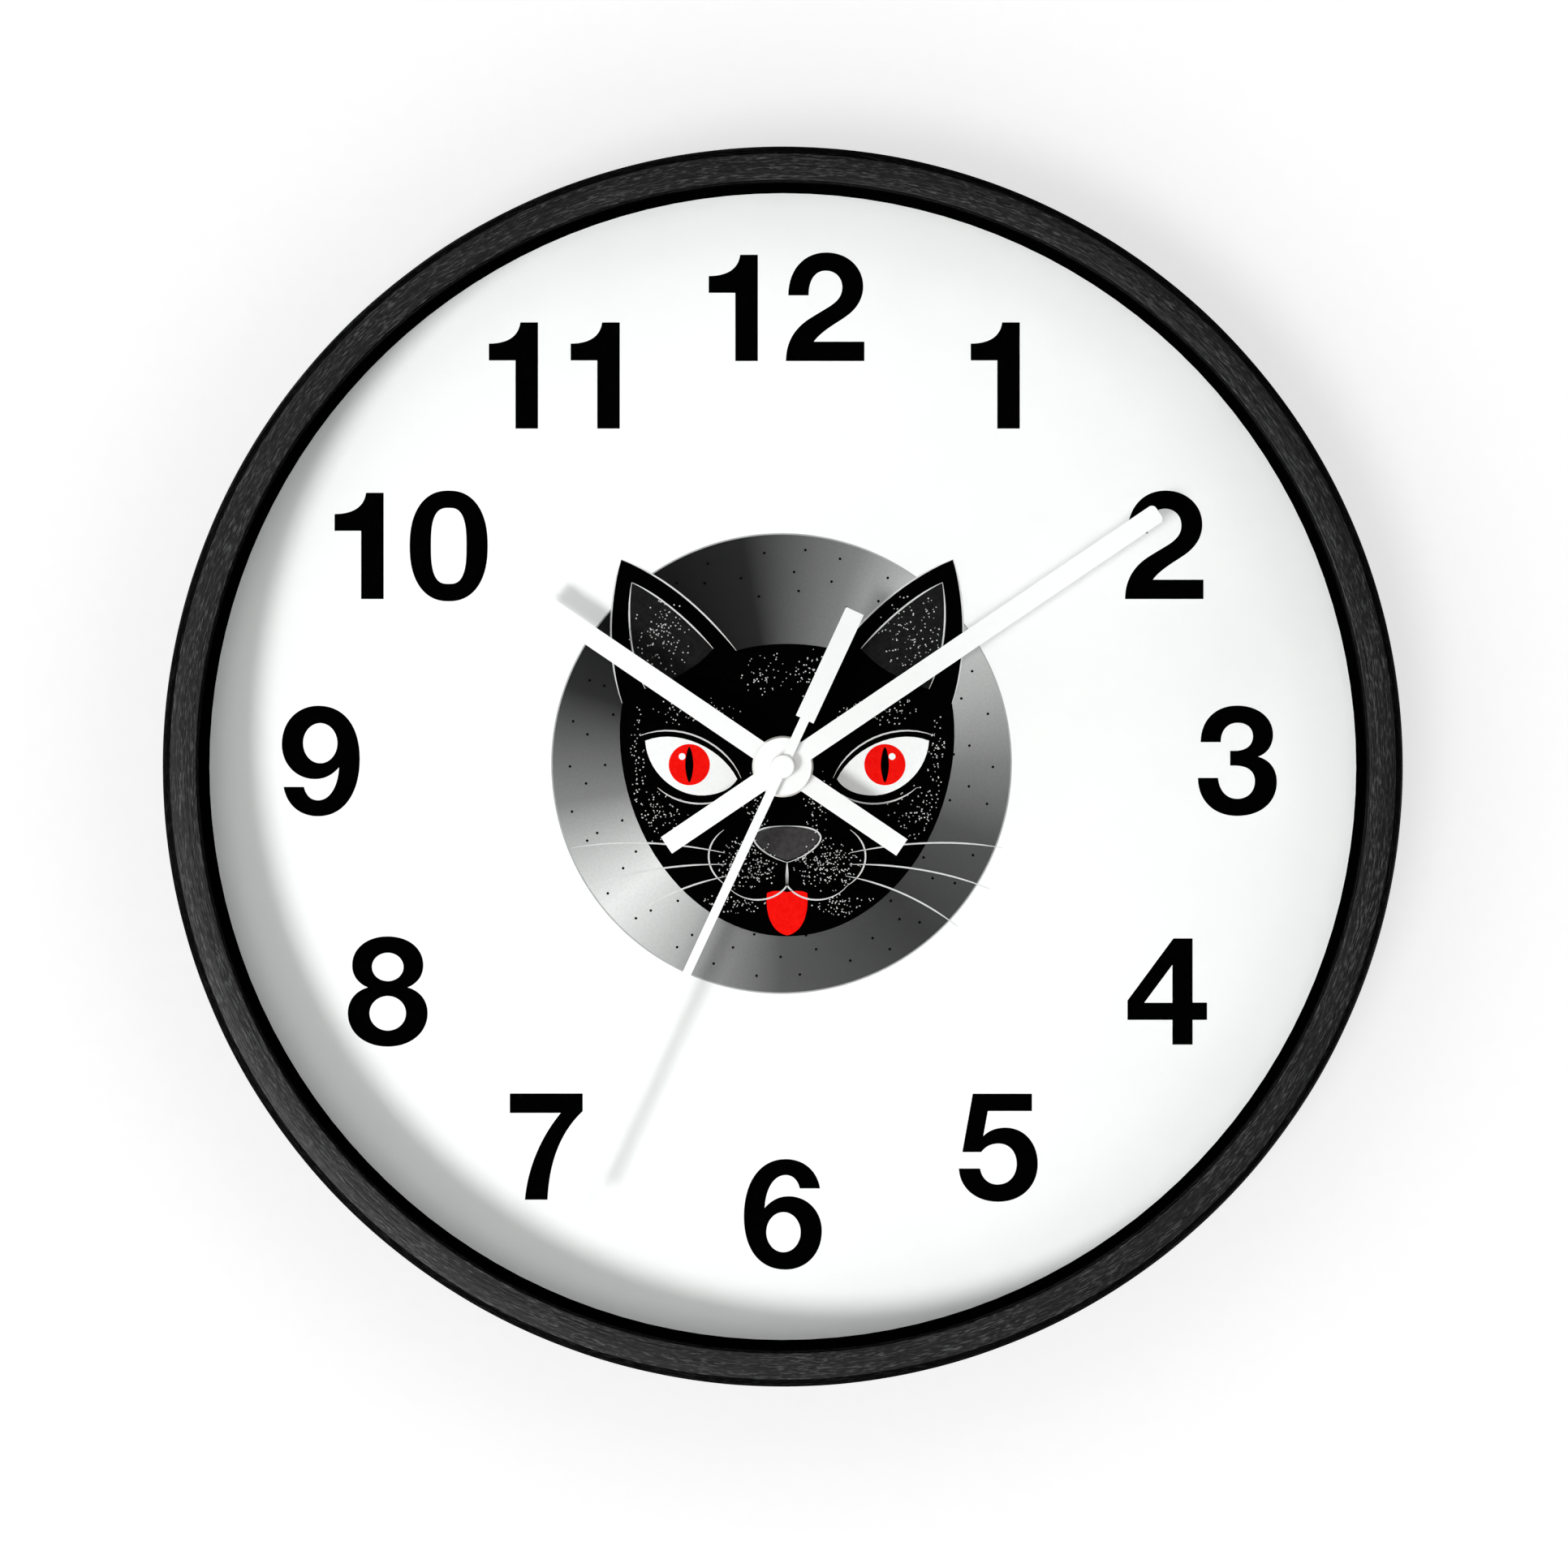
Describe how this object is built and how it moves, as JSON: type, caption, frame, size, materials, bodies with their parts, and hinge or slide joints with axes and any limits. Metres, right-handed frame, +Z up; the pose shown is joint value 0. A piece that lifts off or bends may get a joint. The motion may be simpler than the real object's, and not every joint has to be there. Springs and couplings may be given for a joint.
{
  "type": "wall clock",
  "caption": "Round battery wall clock: black wood ring, white dial with black numerals and a cat-face disc, three straight white hands.",
  "frame": {"origin": "hand axis in the plane of the wall, at the centre of the ring's rear rim", "axes": "+Z up to twelve o'clock, -Y out of the dial towards the viewer, +X to three o'clock; the hands turn clockwise for a positive turn about +Y"},
  "size_m": [0.254, 0.04, 0.254],
  "materials": {
    "black_wood": "satin black paint over wood grain",
    "clear_pane": "polished clear pane",
    "black_spacer": "matte black",
    "printed_sheet": "matte white sheet with black numerals and a grey printed disc",
    "hardboard": "raw brown hardboard",
    "spring_steel": "plain sheet steel",
    "black_rubber": "matte",
    "black_case": "matte moulded",
    "natural_plastic": "satin moulded",
    "brass": "turned",
    "bobbin_plastic": "matte moulded",
    "copper_wire": "enamelled wire",
    "tinned_metal": "tinned",
    "soft_iron": "stamped",
    "circuit_green": "satin solder mask",
    "black_resin": "gloss",
    "magnet_grey": "satin sintered",
    "cell_jacket": "gloss printed film over the can",
    "cell_metal": "nickel plated",
    "white_hand": "satin white lacquer"
  },
  "bodies": {
    "housing": {"frame_ring": "black_wood", "lens": "clear_pane", "spacer_ring": "black_spacer", "dial_sheet": "printed_sheet", "dial_board": "hardboard", "glazing_points": "spring_steel", "rubber_gasket": "black_rubber", "rear_case": "black_case", "front_cover": "black_case", "mid_plate": "natural_plastic", "centre_bushing": "brass", "dial_washer": "brass", "hex_nut": "brass", "coil_bobbin": "bobbin_plastic", "coil_winding": "copper_wire", "coil_pins": "tinned_metal", "stator_core": "soft_iron", "stator_plates": "soft_iron", "circuit_board": "circuit_green", "ic_blob": "black_resin", "quartz_crystal": "tinned_metal", "positive_contact": "tinned_metal", "negative_contact": "tinned_metal"},
    "second_shaft": {"seconds_wheel": "natural_plastic", "second_hand": "white_hand", "second_hand_collet": "brass", "second_hand_cap": "white_hand"},
    "rotor_shaft": {"rotor_magnet": "magnet_grey", "rotor_pinion": "natural_plastic"},
    "intermediate_shaft": {"intermediate_wheel": "natural_plastic"},
    "third_shaft": {"third_wheel": "natural_plastic"},
    "minute_shaft": {"centre_wheel": "natural_plastic", "clutch_spring": "spring_steel", "minute_arbor": "brass", "minute_hand": "white_hand", "minute_hand_collet": "brass"},
    "minute_wheel_shaft": {"minute_wheel": "natural_plastic"},
    "hour_shaft": {"hour_wheel": "natural_plastic", "hour_hand": "white_hand", "hour_hand_collet": "brass"},
    "setting_shaft": {"setting_gear": "natural_plastic", "setting_knob": "black_case"},
    "cell": {"aa_cell": "cell_jacket", "aa_cell_cap": "cell_metal"}
  },
  "joints": [
    {"name": "second_turn", "type": "hinge", "parent": "housing", "child": "second_shaft", "pos_m": [0, -0.01, 0], "axis": [0, 1, 0], "continuous": true},
    {"name": "rotor_turn", "type": "hinge", "parent": "housing", "child": "rotor_shaft", "pos_m": [-0.01212, -0.01, 0.01045], "axis": [0, 1, 0], "continuous": true},
    {"name": "intermediate_turn", "type": "hinge", "parent": "housing", "child": "intermediate_shaft", "pos_m": [-0.00562, -0.01, 0.0067], "axis": [0, 1, 0], "continuous": true},
    {"name": "third_turn", "type": "hinge", "parent": "housing", "child": "third_shaft", "pos_m": [0.0085, -0.01, 0], "axis": [0, 1, 0], "continuous": true},
    {"name": "minute_turn", "type": "hinge", "parent": "housing", "child": "minute_shaft", "pos_m": [0, -0.01, 0], "axis": [0, 1, 0], "continuous": true},
    {"name": "minute_wheel_turn", "type": "hinge", "parent": "housing", "child": "minute_wheel_shaft", "pos_m": [0.0035, -0.01, 0.00606], "axis": [0, 1, 0], "continuous": true},
    {"name": "hour_turn", "type": "hinge", "parent": "housing", "child": "hour_shaft", "pos_m": [0, -0.01, 0], "axis": [0, 1, 0], "continuous": true},
    {"name": "setting_turn", "type": "hinge", "parent": "housing", "child": "setting_shaft", "pos_m": [0.01172, -0.01, 0.00905], "axis": [0, 1, 0], "continuous": true},
    {"name": "cell_lift", "type": "slide", "parent": "housing", "child": "cell", "axis": [0, 1, 0], "range_m": [0, 0.018]}
  ],
  "couplings": [
    {"joint": "intermediate_turn", "follows": "second_turn", "ratio": -6},
    {"joint": "rotor_turn", "follows": "second_turn", "ratio": 30},
    {"joint": "third_turn", "follows": "second_turn", "ratio": -0.13333},
    {"joint": "minute_turn", "follows": "second_turn", "ratio": 0.016667},
    {"joint": "minute_wheel_turn", "follows": "second_turn", "ratio": -0.0055556},
    {"joint": "hour_turn", "follows": "second_turn", "ratio": 0.0013889},
    {"joint": "setting_turn", "follows": "second_turn", "ratio": 0.0083333}
  ]
}
